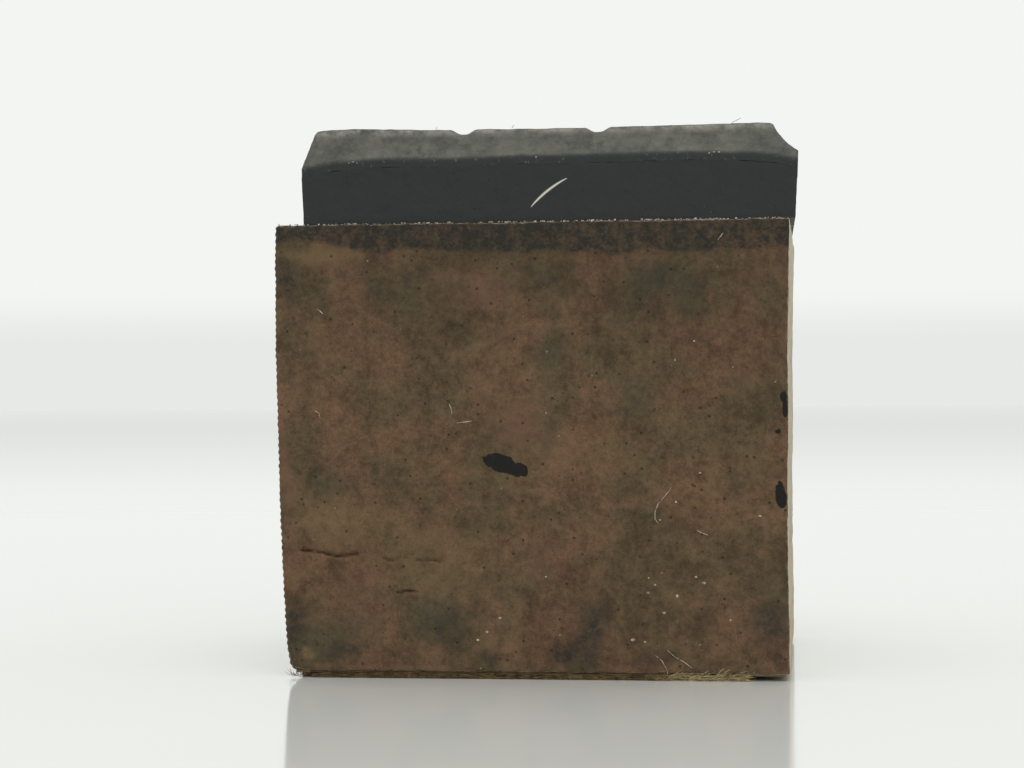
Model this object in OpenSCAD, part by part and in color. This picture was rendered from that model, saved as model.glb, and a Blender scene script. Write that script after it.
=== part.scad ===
// Letterpress printing block: a shelled metal plate nailed to a hardwood base, with an underlay.
// Millimetres. +Z is up from the press bed to the printing face, -Y is the end-grain front.
// X runs along the front. The origin is on the bed, under the middle of the whole block.

/* [Standing height] */
// Height from the press bed to the printing face
type_high = 23.32; // [22.8:0.01:25.0]

/* [Wood base] */
// Width of the wood along the front
wood_w = 21.7; // [20.5:0.1:26]
// Depth of the wood from front to back
wood_d = 19; // [18.6:0.1:30]
// How far the left side curves in at its foot
side_sweep = 0.5; // [0.1:0.05:0.9]
// Height over which the left side curves in
sweep_h = 14.5; // [6:0.5:16]

/* [Underlay] */
// Thickness of the paper under the wood
paper_t = 0.1; // [0.08:0.01:0.2]
// How far the paper stays back from the wood's edges
paper_inset = 0.25; // [0.1:0.05:0.8]
// Thickness of the strawboard
board_t = 0.19; // [0.15:0.01:0.4]
// How far the strawboard stays back from the wood's left side
board_inset_left = 1; // [0.4:0.1:2]
// How far the strawboard stays back from the wood's right side
board_inset_right = 1.75; // [1.2:0.05:3]
// How far the strawboard stays back from the front and the back
board_inset_y = 0.05; // [0:0.05:0.5]
// Depth of the tears in the strawboard's right end
board_tear = 0.5; // [0.1:0.05:0.8]

/* [Plate outline] */
// Height of the plate from its seat to the printing face
plate_h = 4.11; // [3.86:0.01:4.4]
// How far the plate's foot stays back from the wood's left side
plate_inset = 1.17; // [0.4:0.01:1.6]
// How far the plate's right shoulder stands past the wood at the front
plate_over = 0.4; // [0.1:0.05:0.6]
// How much further the right shoulder stands out at the front than at the back
plate_skew = 0.4; // [0.05:0.05:0.6]
// How far the plate's shoulder stays back from the wood's front and back
plate_inset_y = 0.1; // [0.05:0.05:0.4]
// How much the left side leans out from foot to shoulder
lean_left = 0.06; // [0.02:0.01:0.2]
// How much the right side leans out from foot to shoulder
lean_right = 0.14; // [0.02:0.01:0.3]
// How much the front and back lean out from foot to shoulder
lean_y = 0.1; // [0.02:0.01:0.3]

/* [Shoulders] */
// Drop from the printing face to the front and back shoulders
drop_y = 1.39; // [1.25:0.01:1.6]
// Drop from the printing face to the left shoulder
drop_left = 1.68; // [1.3:0.01:1.9]
// Drop from the printing face to the right shoulder
drop_right = 1.29; // [1.25:0.01:1.6]
// Level run of the front and back bevels
run_y = 0.9; // [0.6:0.05:1.4]
// Level run of the steep left bevel
run_left = 0.42; // [0.3:0.01:0.8]
// Level run of the hollow right bevel
run_right = 1.0; // [0.8:0.05:1.4]
// Level run of the rounding between a bevel and the face
round_run = 0.34; // [0.2:0.02:0.5]
// Drop of the rounding between a bevel and the face
round_drop = 0.2; // [0.08:0.01:0.3]

/* [Relief] */
// Thickness of the shell under the low ground and at its rim
shell_t = 0.3; // [0.2:0.01:0.32]
// Depth of the panels' low ground below the face
ground_drop = 0.9; // [0.7:0.05:0.94]
// Place of the left groove between panels, from the middle of the wood
groove_left_x = -2.9; // [-3.2:0.05:-2.6]
// Place of the right groove between panels, from the middle of the wood
groove_right_x = 2.85; // [2.6:0.05:3.2]
// Width of a groove at the face
groove_w = 1.2; // [0.8:0.05:1.4]
// Width of a groove's flat bottom
groove_floor = 0.3; // [0.1:0.05:0.4]
// Depth of a groove
groove_drop = 0.2; // [0.1:0.02:0.3]
// Width of the frame line round a panel
frame_line = 0.4; // [0.3:0.05:0.5]
// Corner radius of a panel's low ground
panel_r = 0.6; // [0.3:0.05:0.8]
// Width of the printing stems and lines
stem_w = 0.34; // [0.24:0.02:0.44]
// Pairs of leaves on a spray
leaf_pairs = 5; // [3:1:6]
// Length of the bud at a spray's end
bud = 2.2; // [1.6:0.1:2.8]
// Lean of a leaf from its stem in degrees
leaf_lean = 48; // [40:1:56]

/* [Brads] */
// Diameter of a brad's shank
brad_d = 1; // [0.8:0.05:1.2]
// Diameter of a brad's head
brad_head_d = 1.8; // [1.6:0.05:1.9]
// Thickness of a brad's head
brad_head_t = 0.32; // [0.25:0.01:0.45]
// Length of a brad under its head
brad_len = 12; // [8:0.5:15]
// Length of a brad's point
brad_point = 1.4; // [0.8:0.1:2]
// Gap between a brad and the frame line at a panel's end
brad_end_gap = 0.12; // [0.08:0.02:0.3]
// Radial clearance of a brad in the plate
plate_clear = 0.03; // [0.02:0.01:0.08]
// Radial clearance of a brad in the wood
wood_clear = 0.01; // [0.01:0.01:0.03]

/* [Hidden] */
$fn = 64;
cut = 1;
brad_tip_r = 0.06;

// Levels above the bed
z_paper = board_t;
z_wood = z_paper + paper_t;
z_seat = type_high - plate_h;
wood_h = z_seat - z_wood;
z_face = type_high;
z_ground = z_face - ground_drop;
z_under = z_ground - shell_t;
z_sh_y = z_face - drop_y;
z_sh_left = z_face - drop_left;
z_sh_right = z_face - drop_right;

// Places along the front: the wood and the plate's overhang share the middle
wood_l = -(wood_w + plate_over) / 2;
wood_r = wood_l + wood_w;
wood_mid = (wood_l + wood_r) / 2;
foot_l = wood_l + plate_inset;
sh_l = foot_l - lean_left;
sh_r = wood_r + plate_over;
foot_r = sh_r - lean_right;
face_l = sh_l + run_left + round_run;
face_r = sh_r - run_right - round_run;

// Places from front to back, for the half at the back
wood_y = wood_d / 2;
sh_y = wood_y - plate_inset_y;
foot_y = sh_y - lean_y;
face_y = sh_y - run_y;

// The three panels' edges at the face, left to right
groove_l = wood_mid + groove_left_x;
groove_r = wood_mid + groove_right_x;
PANELS = [[face_l, groove_l - groove_w / 2], [groove_l + groove_w / 2, groove_r - groove_w / 2],
    [groove_r + groove_w / 2, face_r]];
pocket_y = face_y - frame_line;
brad_y = pocket_y - brad_end_gap - brad_head_d / 2;
brad_left_x = panel_mid(0);
brad_right_x = panel_mid(2);

// Middle and inner width of a panel
function panel_mid(i) = (PANELS[i][0] + PANELS[i][1]) / 2;
function pocket_w(i) = PANELS[i][1] - PANELS[i][0] - 2 * frame_line;

// A curve from a to c that leaves a and reaches c along the lines through b
function bend(a, b, c, n) =
    [for (i = [0:n]) let (t = i / n) a * (1 - t) * (1 - t) + b * 2 * t * (1 - t) + c * t * t];

// Left bevel seen from the front, from the shoulder up to the face
LEFT_BEVEL = concat([[sh_l, z_sh_left]],
    bend([sh_l + run_left, z_face - round_drop], [sh_l + run_left + round_run * 0.2, z_face],
        [face_l, z_face], 5));

// Right bevel seen from the front, from the face down its hollow to the shoulder
RIGHT_BEVEL = concat(
    bend([face_r, z_face], [sh_r - run_right - round_run * 0.1, z_face],
        [sh_r - run_right, z_face - round_drop], 5),
    bend([sh_r - run_right, z_face - round_drop], [sh_r - run_right * 0.61, z_sh_right + drop_right * 0.3],
        [sh_r, z_sh_right], 8));

// A groove between two panels, seen from the front
function groove(x) = [[x - groove_w / 2, z_face], [x - groove_floor / 2, z_face - groove_drop],
    [x + groove_floor / 2, z_face - groove_drop], [x + groove_w / 2, z_face]];

// The bevel's underside, a shell's thickness inside a bevel of that run and drop, going inwards
function under_bevel(run, drop) = let (long = sqrt(run * run + drop * drop),
    step_in = shell_t * drop / long, step_down = shell_t * run / long,
    rise = z_under - (z_face - drop - step_down))
    [[step_in, z_face - drop - step_down], [step_in + rise * run / drop, z_under]];

// Seen from the front, the plate with its shell
module plate_front() {
    polygon(concat([[foot_l, z_seat]], LEFT_BEVEL, groove(groove_l), groove(groove_r), RIGHT_BEVEL,
        [[foot_r, z_seat]]));
}

// Seen from the front, the space under the shell, which runs out past both sides
module under_front() {
    left = under_bevel(run_left, drop_left);
    right = under_bevel(run_right + round_run, drop_right);
    polygon([[-wood_w, z_seat - cut], [-wood_w, z_sh_left - shell_t], [sh_l, z_sh_left - shell_t],
        [sh_l + left[0][0], left[0][1]], [sh_l + left[1][0], left[1][1]],
        [sh_r - right[1][0], right[1][1]], [sh_r - right[0][0], right[0][1]],
        [sh_r, z_sh_right - shell_t], [wood_w, z_sh_right - shell_t], [wood_w, z_seat - cut]]);
}

// Seen from the side, the plate with its shell
module plate_side() {
    polygon([[-foot_y, z_seat], [-sh_y, z_sh_y], [-face_y, z_face],
        [face_y, z_face], [sh_y, z_sh_y], [foot_y, z_seat]]);
}

// Seen from the side, the space under the shell, which runs out past the front and the back
module under_side() {
    under = under_bevel(run_y, drop_y);
    rim = z_sh_y - shell_t;
    polygon([[-wood_d, z_seat - cut], [-wood_d, rim], [-sh_y, rim], [-sh_y + under[0][0], under[0][1]],
        [-sh_y + under[1][0], z_under], [sh_y - under[1][0], z_under],
        [sh_y - under[0][0], under[0][1]], [sh_y, rim], [wood_d, rim], [wood_d, z_seat - cut]]);
}

// Seen from above, the plate narrows a little towards the back on its right side
module plate_plan() {
    polygon([[sh_l - cut, -sh_y], [sh_r, -sh_y], [sh_r - plate_skew, sh_y], [sh_l - cut, sh_y]]);
}

// Stands a drawing up: its first axis along X, its second along Z, through the whole depth
module stand_front() {
    rotate([90, 0, 0]) linear_extrude(3 * wood_d, center = true) children();
}

// Stands a drawing up: its first axis along Y, its second along Z, through the whole width
module stand_side() {
    rotate([90, 0, 90]) linear_extrude(3 * wood_w, center = true) children();
}

// Everything below the shell's underside
module under_shell() {
    intersection() {
        stand_front() under_front();
        stand_side() under_side();
    }
}

module plate_blank() {
    intersection() {
        stand_front() plate_front();
        stand_side() plate_side();
        translate([0, 0, z_seat - cut]) linear_extrude(plate_h + 2 * cut) plate_plan();
    }
}

// A rectangle with round corners, about its middle
module round_panel(w, d, r) {
    square([w - 2 * r, d], center = true);
    square([w, d - 2 * r], center = true);
    for (sx = [-1, 1], sy = [-1, 1])
        translate([sx * (w / 2 - r), sy * (d / 2 - r)]) circle(r);
}

// A pointed leaf about its middle, along Y
module leaf(long, wide) {
    r = (long * long + wide * wide) / (4 * wide);
    intersection() {
        translate([r - wide / 2, 0]) circle(r);
        translate([wide / 2 - r, 0]) circle(r);
    }
}

// An upright spray of leaves that fills a panel between its brads
module spray(w) {
    half = brad_y - brad_head_d / 2 - brad_end_gap;
    leaf_long = w * 0.46;
    leaf_wide = leaf_long * 0.42;
    pitch = (2 * half - bud - stem_w) / leaf_pairs;
    translate([-stem_w / 2, -half]) square([stem_w, 2 * half - bud / 2]);
    translate([0, half - bud / 2]) leaf(bud, bud / 2);
    for (i = [0:leaf_pairs - 1], s = [-1, 1])
        translate([0, -half + stem_w + i * pitch]) rotate(s * leaf_lean)
            translate([0, leaf_long / 2]) leaf(leaf_long, leaf_wide);
}

// Four round petals about a small eye
module quatrefoil(reach) {
    petal = reach * 0.36;
    for (a = [0:90:270])
        rotate(a + 45) translate([reach - petal, 0]) circle(petal);
    difference() {
        circle(reach * 0.58);
        circle(reach * 0.22);
    }
}

// A chain of quatrefoils with lozenges and dots between them
module chain(w) {
    reach = w * 0.4;
    gap = (2 * pocket_y - 2 * reach - 2 * frame_line) / 4;
    for (i = [-1:1]) translate([0, 2 * i * gap]) quatrefoil(reach);
    for (s = [-1, 1]) translate([0, s * gap]) {
        rotate(45) square(reach * 0.62, center = true);
        for (side = [-1, 1]) translate([side * reach * 0.84, 0]) circle(reach * 0.17);
    }
}

// What stands up from a panel's low ground to the printing face
module panel_design(i) {
    if (i == 1) chain(pocket_w(i));
    else spray(pocket_w(i));
}

module panel_pocket(i) {
    translate([panel_mid(i), 0, z_ground]) linear_extrude(ground_drop + cut) difference() {
        round_panel(pocket_w(i), 2 * pocket_y, panel_r);
        panel_design(i);
    }
}

// Shank holes for the four brads, from a depth up to above the face
module brad_holes(clear) {
    for (x = [brad_left_x, brad_right_x], y = [-brad_y, brad_y])
        translate([x, y, z_seat - cut]) cylinder(d = brad_d + 2 * clear, h = plate_h + 2 * cut);
}

// A brad with its point down; the origin is under its head
module brad(clear, head) {
    straight = brad_len - brad_point;
    r = brad_d / 2 + clear;
    translate([0, 0, -straight]) cylinder(r = r, h = straight + (head ? brad_head_t / 2 : cut));
    translate([0, 0, -brad_len]) cylinder(r1 = brad_tip_r + clear, r2 = r, h = brad_point);
    if (head) cylinder(d = brad_head_d, h = brad_head_t);
}

module wood_base() {
    color([0.42, 0.33, 0.25]) difference() {
        rotate([90, 0, 0]) linear_extrude(wood_d, center = true) polygon(concat(
            [[wood_r, z_wood], [wood_r, z_seat], [wood_l, z_seat]],
            [for (i = [0:8]) [wood_l + side_sweep * pow(i / 8, 1.7), z_wood + sweep_h * (1 - i / 8)]]));
        for (x = [brad_left_x, brad_right_x], y = [-brad_y, brad_y])
            translate([x, y, z_ground]) brad(wood_clear, false);
    }
}

module backing_metal() {
    color([0.2, 0.21, 0.25]) difference() {
        intersection() {
            plate_blank();
            under_shell();
        }
        brad_holes(plate_clear);
    }
}

module printing_shell() {
    color([0.38, 0.37, 0.36]) difference() {
        plate_blank();
        under_shell();
        for (i = [0:2]) panel_pocket(i);
        brad_holes(plate_clear);
    }
}

module underlay_paper() {
    x0 = wood_l + side_sweep + paper_inset;
    color([0.78, 0.74, 0.66]) translate([x0, -wood_y + paper_inset, z_paper])
        cube([wood_r - paper_inset - x0, wood_d - 2 * paper_inset, paper_t]);
}

// The strawboard's right end is torn into a ragged line
module underlay_board() {
    x0 = wood_l + board_inset_left;
    x1 = wood_r - board_inset_right;
    y = wood_y - board_inset_y;
    color([0.47, 0.4, 0.28]) linear_extrude(board_t) polygon([[x0 + board_tear, -y], [x1, -y],
        [x1 - board_tear, -y * 0.7], [x1 + board_tear * 0.4, -y * 0.45], [x1 - board_tear * 0.6, -y * 0.1],
        [x1 + board_tear * 0.7, y * 0.2], [x1 - board_tear * 0.3, y * 0.5], [x1 + board_tear * 0.2, y * 0.75],
        [x1 - board_tear * 0.4, y], [x0, y], [x0, -y + board_tear]]);
}

module brad_at(x, y) {
    color([0.5, 0.5, 0.52]) translate([x, y, z_ground]) brad(0, true);
}

module brad_front_left() { brad_at(brad_left_x, -brad_y); }
module brad_front_right() { brad_at(brad_right_x, -brad_y); }
module brad_rear_left() { brad_at(brad_left_x, brad_y); }
module brad_rear_right() { brad_at(brad_right_x, brad_y); }

wood_base();
backing_metal();
printing_shell();
underlay_paper();
underlay_board();
brad_front_left();
brad_front_right();
brad_rear_left();
brad_rear_right();
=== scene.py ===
"""Looks of a letterpress printing block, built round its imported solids.

Blender works in metres, the shaping functions here in millimetres. +Z is up from the press bed to
the printing face, and -Y is the end-grain front that the photograph shows. Marks that the photograph
places are written as its pixels and thrown through the camera onto the block's front.
"""

import math
import random

import bmesh
import bpy
import numpy as np
from mathutils import Matrix, Vector


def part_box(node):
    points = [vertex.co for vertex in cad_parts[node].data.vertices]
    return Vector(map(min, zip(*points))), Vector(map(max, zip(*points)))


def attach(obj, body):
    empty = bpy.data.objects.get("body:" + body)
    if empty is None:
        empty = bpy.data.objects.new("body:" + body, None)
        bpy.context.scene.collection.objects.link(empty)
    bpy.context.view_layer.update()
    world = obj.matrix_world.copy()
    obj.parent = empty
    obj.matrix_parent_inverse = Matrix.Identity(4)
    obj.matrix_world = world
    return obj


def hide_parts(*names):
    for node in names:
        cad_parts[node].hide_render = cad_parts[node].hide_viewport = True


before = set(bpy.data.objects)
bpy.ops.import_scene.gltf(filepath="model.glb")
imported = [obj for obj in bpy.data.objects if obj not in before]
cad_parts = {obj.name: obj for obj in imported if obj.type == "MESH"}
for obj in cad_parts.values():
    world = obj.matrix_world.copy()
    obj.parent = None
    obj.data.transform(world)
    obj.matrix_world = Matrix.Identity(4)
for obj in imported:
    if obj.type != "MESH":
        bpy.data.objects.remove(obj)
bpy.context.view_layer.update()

MM = 0.001


# Camera at the photograph's viewing angle
PHOTO_W, PHOTO_H = 1024, 768
FOCAL_PX = 2370.0
SENSOR = 36.0
EYE = Vector((0.011714, -0.108193, 0.011463))
YAW, PITCH, ROLL = (math.radians(a) for a in (7.309, 0.532, -0.30))
# The photograph's scale at the block's front
FRONT_PX_PER_MM = 24.0


def camera_axes():
    """The camera's directions to its right, up and ahead."""
    level = Vector((math.cos(YAW), math.sin(YAW), 0))
    ahead = Vector((-math.sin(YAW) * math.cos(PITCH), math.cos(YAW) * math.cos(PITCH), math.sin(PITCH)))
    up = level.cross(ahead)
    return (level * math.cos(ROLL) + up * math.sin(ROLL), up * math.cos(ROLL) - level * math.sin(ROLL), ahead)


RIGHT, UP, AHEAD = camera_axes()


def seen_at(px, py, y):
    """The point in millimetres where the photograph's pixel meets the upright plane at that Y."""
    ray = AHEAD + RIGHT * ((px - PHOTO_W / 2) / FOCAL_PX) - UP * ((py - PHOTO_H / 2) / FOCAL_PX)
    return np.array(EYE + ray * ((y * MM - EYE.y) / ray.y)) / MM


def make_camera():
    data = bpy.data.cameras.new("photo_camera")
    data.sensor_width = SENSOR
    data.lens = FOCAL_PX * SENSOR / PHOTO_W
    data.clip_start, data.clip_end = 0.005, 50
    camera = bpy.data.objects.new("photo_camera", data)
    camera.matrix_world = Matrix.Translation(EYE) @ Matrix((RIGHT, UP, -AHEAD)).transposed().to_4x4()
    bpy.context.scene.collection.objects.link(camera)
    bpy.context.scene.camera = camera


make_camera()


# Sizes from the frame, in millimetres, and the named values of the source that no box gives
def box_mm(node):
    lo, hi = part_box(node)
    return np.array(lo) / MM, np.array(hi) / MM


WOOD_LO, WOOD_HI = box_mm("wood_base")
BACK_LO = box_mm("backing_metal")[0]
SHELL_LO, SHELL_HI = box_mm("printing_shell")
PAPER_LO, PAPER_HI = box_mm("underlay_paper")
BOARD_LO, BOARD_HI = box_mm("underlay_board")

Z_SEAT, Z_FACE = BACK_LO[2], SHELL_HI[2]
SH_L, SH_R, SH_Y = SHELL_LO[0], SHELL_HI[0], SHELL_HI[1]
LEAN_L, LEAN_R, LEAN_Y = 0.06, 0.14, 0.1
PLATE_SKEW = 0.4
DROP_Y, DROP_L, DROP_R = 1.39, 1.68, 1.29
RUN_Y, RUN_L, RUN_R = 0.9, 0.42, 1.0
ROUND_RUN, ROUND_DROP = 0.34, 0.2
SHELL_T = 0.3
GROUND_DROP = 0.9
FACE_L, FACE_R, FACE_Y = SH_L + RUN_L + ROUND_RUN, SH_R - RUN_R - ROUND_RUN, SH_Y - RUN_Y
GROOVES = (-3.1, 2.65)
GROOVE_W, GROOVE_DROP = 1.2, 0.2
FRAME_LINE, PANEL_R, STEM_W = 0.4, 0.6, 0.34
POCKET_Y = FACE_Y - FRAME_LINE
PANELS = ((FACE_L, GROOVES[0] - GROOVE_W / 2), (GROOVES[0] + GROOVE_W / 2, GROOVES[1] - GROOVE_W / 2),
          (GROOVES[1] + GROOVE_W / 2, FACE_R))
LEAF_PAIRS, BUD, LEAF_LEAN = 5, 2.2, math.radians(48)
BRAD_HEAD_D, BRAD_HEAD_T, BRAD_D, BRAD_LEN, BRAD_POINT = 1.8, 0.32, 1.0, 12.0, 1.4
BRAD_END_GAP = 0.12
Z_GROUND = Z_FACE - GROUND_DROP
FRONT_Y = WOOD_LO[1]
PLATE_Y = -SH_Y


# Shaping helpers
def cut_block(name, cells):
    """A closed block from 0 to 1 on each axis, its faces cut into cells along X, Y and Z."""
    bm = bmesh.new()
    bmesh.ops.create_cube(bm, size=1, matrix=Matrix.Translation((0.5, 0.5, 0.5)))
    for axis in (0, 2, 1):
        along = [e for e in bm.edges if abs(e.verts[0].co[axis] - e.verts[1].co[axis]) > 0.5]
        if cells[axis] > 1:
            bmesh.ops.subdivide_edges(bm, edges=along, cuts=cells[axis] - 1, use_grid_fill=True)
    bmesh.ops.recalc_face_normals(bm, faces=bm.faces)
    mesh = bpy.data.meshes.new(name)
    bm.to_mesh(mesh)
    bm.free()
    return mesh


def points_of(mesh):
    flat = np.empty(len(mesh.vertices) * 3, np.float32)
    mesh.vertices.foreach_get("co", flat)
    return flat.reshape(-1, 3).astype(float)


def place_points(mesh, millimetres):
    mesh.vertices.foreach_set("co", (millimetres * MM).astype(np.float32).ravel())
    mesh.update()


def crowd(share, cells, edge_cells, edge, lo, hi):
    """Places of even cuts from 0 to 1, with edge_cells of them crowded into the last bit of each end."""
    a = edge_cells / cells
    return np.interp(share, (0, a, 1 - a, 1), (lo, lo + edge, hi - edge, hi))


def lumps(points, size, seed):
    """Smooth random values from -1 to 1 at points, in lumps of about that size."""
    grid = points / size + 31.7 * seed
    cell = np.floor(grid).astype(np.int64)
    part = grid - cell
    part = part * part * (3 - 2 * part)
    total = np.zeros(len(points))
    for corner in np.ndindex(2, 2, 2):
        near = cell + np.array(corner)
        mixed = near[:, 0] * 73856093 ^ near[:, 1] * 19349663 ^ near[:, 2] * 83492791 ^ seed * 7919
        mixed = ((mixed ^ (mixed >> 13)) * 1274126177) & 0x7FFFFFFF
        value = (mixed ^ (mixed >> 15)) % 65536 / 32768 - 1
        total += value * np.prod(np.where(corner, part, 1 - part), axis=1)
    return total


def rough(points, size, seed, layers=3):
    """Lumps with finer lumps on them."""
    return sum(lumps(points, size / 2 ** i, seed + i) / 2 ** i for i in range(layers))


def ease(low, high, value):
    """Goes smoothly from 0 at low to 1 at high."""
    t = np.clip((value - low) / (high - low), 0, 1)
    return t * t * (3 - 2 * t)


def flat_points(x, y):
    return np.stack([x, y, np.zeros_like(x)], axis=1)


def near_line(x, z, line):
    """How far the points are from a line through the given points."""
    best = np.full(len(x), 1e9)
    for (ax, az), (bx, bz) in zip(line, line[1:]):
        dx, dz = bx - ax, bz - az
        t = np.clip(((x - ax) * dx + (z - az) * dz) / max(dx * dx + dz * dz, 1e-12), 0, 1)
        best = np.minimum(best, np.hypot(x - ax - t * dx, z - az - t * dz))
    return best


def add_piece(name, mesh, finishes, slot, *nodes, sharp=None):
    """A piece of the object: it rides on the block, and stands for the CAD nodes that are named."""
    piece = bpy.data.objects.new(name, mesh)
    bpy.context.scene.collection.objects.link(piece)
    for finish in finishes:
        mesh.materials.append(finish)
    mesh.shade_smooth()
    if sharp:
        mesh.set_sharp_from_angle(angle=math.radians(sharp))
    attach(piece, "root")
    if nodes:
        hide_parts(*nodes)
    return piece


def set_mask(mesh, name, values):
    layer = mesh.attributes.new(name, "FLOAT", "POINT")
    layer.data.foreach_set("value", np.clip(values, 0, 1).astype(np.float32))


# Shader helpers
def paint(red, green, blue):
    """A colour as seen on screen, 0 to 255, as the shader's own values."""
    def plain(c):
        c /= 255
        return c / 12.92 if c <= 0.04045 else ((c + 0.055) / 1.055) ** 2.4
    return (plain(red), plain(green), plain(blue), 1.0)


class Nodes:
    """Adds nodes to one shader tree; an input is a number, a colour or the socket that feeds it."""

    def __init__(self, tree):
        self.tree = tree

    def add(self, kind, settings=(), inputs=(), out=0):
        node = self.tree.nodes.new(kind)
        for key, value in dict(settings).items():
            setattr(node, key, value)
        for key, value in dict(inputs).items():
            if isinstance(value, bpy.types.NodeSocket):
                self.tree.links.new(value, node.inputs[key])
            else:
                node.inputs[key].default_value = value
        return node.outputs[out]

    def maths(self, operation, a, b=0.0, c=0.0, clamp=False):
        return self.add("ShaderNodeMath", {"operation": operation, "use_clamp": clamp}, {0: a, 1: b, 2: c})

    def times(self, a, b):
        return self.maths("MULTIPLY", a, b)

    def plus(self, a, b, clamp=False):
        return self.maths("ADD", a, b, clamp=clamp)

    def spread(self, value, low, high, to_low=0.0, to_high=1.0):
        return self.add("ShaderNodeMapRange", {"interpolation_type": "SMOOTHSTEP"},
                        {0: value, 1: low, 2: high, 3: to_low, 4: to_high})

    def mix(self, share, a, b, blend="MIX"):
        return self.add("ShaderNodeMix", {"data_type": "RGBA", "blend_type": blend, "clamp_factor": True},
                        {0: share, 6: a, 7: b}, 2)

    def noise(self, where, scale, detail=2.0, roughness=0.5, distortion=0.0):
        return self.add("ShaderNodeTexNoise", {}, {"Vector": where, "Scale": scale, "Detail": detail,
                                                   "Roughness": roughness, "Distortion": distortion})

    def mask(self, name):
        return self.add("ShaderNodeAttribute", {"attribute_name": name}, out="Fac")

    def place(self, turn=(0, 0, 0), stretch=(1, 1, 1), shift=(0, 0, 0)):
        """The surface's own place in millimetres, turned, stretched and shifted."""
        own = self.add("ShaderNodeTexCoord", out="Object")
        return self.add("ShaderNodeMapping", {}, {"Vector": own, "Rotation": turn, "Location": shift,
                                                  "Scale": tuple(s / MM for s in stretch)})

    def axes(self, where):
        node = self.tree.nodes.new("ShaderNodeSeparateXYZ")
        self.tree.links.new(where, node.inputs[0])
        return node.outputs

    def effect(self, group, inputs, out=0):
        node = self.tree.nodes.new("ShaderNodeGroup")
        node.node_tree = group
        for key, value in inputs.items():
            if isinstance(value, bpy.types.NodeSocket):
                self.tree.links.new(value, node.inputs[key])
            else:
                node.inputs[key].default_value = value
        return node.outputs[out]

    def bump(self, height, strength, distance, normal=None):
        inputs = {"Height": height, "Strength": strength, "Distance": distance * MM}
        if normal is not None:
            inputs["Normal"] = normal
        return self.add("ShaderNodeBump", {}, inputs)


def new_effect(name, inputs, outputs):
    """A shader node group with named inputs and outputs."""
    tree = bpy.data.node_groups.new(name, "ShaderNodeTree")
    for socket, kind, value in inputs:
        made = tree.interface.new_socket(socket, in_out="INPUT", socket_type="NodeSocket" + kind)
        if value is not None:
            made.default_value = value
    for socket, kind in outputs:
        tree.interface.new_socket(socket, in_out="OUTPUT", socket_type="NodeSocket" + kind)
    nodes = Nodes(tree)
    return nodes, tree.nodes.new("NodeGroupInput").outputs, tree.nodes.new("NodeGroupOutput").inputs


def finish_with(name, build, specular=0.5):
    """A material; build gives colour, roughness, normal and metallic for the Principled shader."""
    made = bpy.data.materials.new(name)
    made.use_nodes = True
    tree = made.node_tree
    tree.nodes.clear()
    nodes = Nodes(tree)
    sockets = build(nodes)
    shader = tree.nodes.new("ShaderNodeBsdfPrincipled")
    shader.inputs["Specular IOR Level"].default_value = specular
    for key, value in sockets.items():
        if isinstance(value, bpy.types.NodeSocket):
            tree.links.new(value, shader.inputs[key])
        else:
            shader.inputs[key].default_value = value
    out = tree.nodes.new("ShaderNodeOutputMaterial")
    tree.links.new(shader.outputs[0], out.inputs["Surface"])
    return made


# Shared effects
def make_specks():
    """Scattered round dots: a share of the cells holds one, each a little different in size."""
    n, given, out = new_effect("specks", (("Place", "Vector", None), ("Scale", "Float", 3.0),
                                          ("Share", "Float", 0.5), ("Size", "Float", 0.2)),
                               (("Mask", "Float"),))
    settings = {"feature": "F1", "voronoi_dimensions": "3D"}
    cell = n.tree.nodes.new("ShaderNodeTexVoronoi")
    for key, value in settings.items():
        setattr(cell, key, value)
    n.tree.links.new(given["Place"], cell.inputs["Vector"])
    n.tree.links.new(given["Scale"], cell.inputs["Scale"])
    chance = n.axes(cell.outputs["Color"])
    there = n.maths("LESS_THAN", chance[0], given["Share"])
    size = n.times(given["Size"], n.spread(chance[1], 0, 1, 0.45, 1.25))
    edge = n.maths("SUBTRACT", 1.0, n.maths("DIVIDE", cell.outputs["Distance"], size))
    n.tree.links.new(n.times(there, n.spread(edge, 0.0, 0.6)), out["Mask"])
    return n.tree


def make_mottle():
    """Uneven tone at every scale from the given one down, about 0.5."""
    n, given, out = new_effect("mottle", (("Place", "Vector", None), ("Scale", "Float", 1.0),
                                          ("Detail", "Float", 5.0), ("Grain", "Float", 0.8),
                                          ("Contrast", "Float", 2.0)), (("Tone", "Float"),))
    tone = n.noise(given["Place"], given["Scale"], given["Detail"], given["Grain"])
    spread = n.maths("MULTIPLY_ADD", n.maths("SUBTRACT", tone, 0.5), given["Contrast"], 0.5, clamp=True)
    n.tree.links.new(spread, out["Tone"])
    return n.tree


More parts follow.
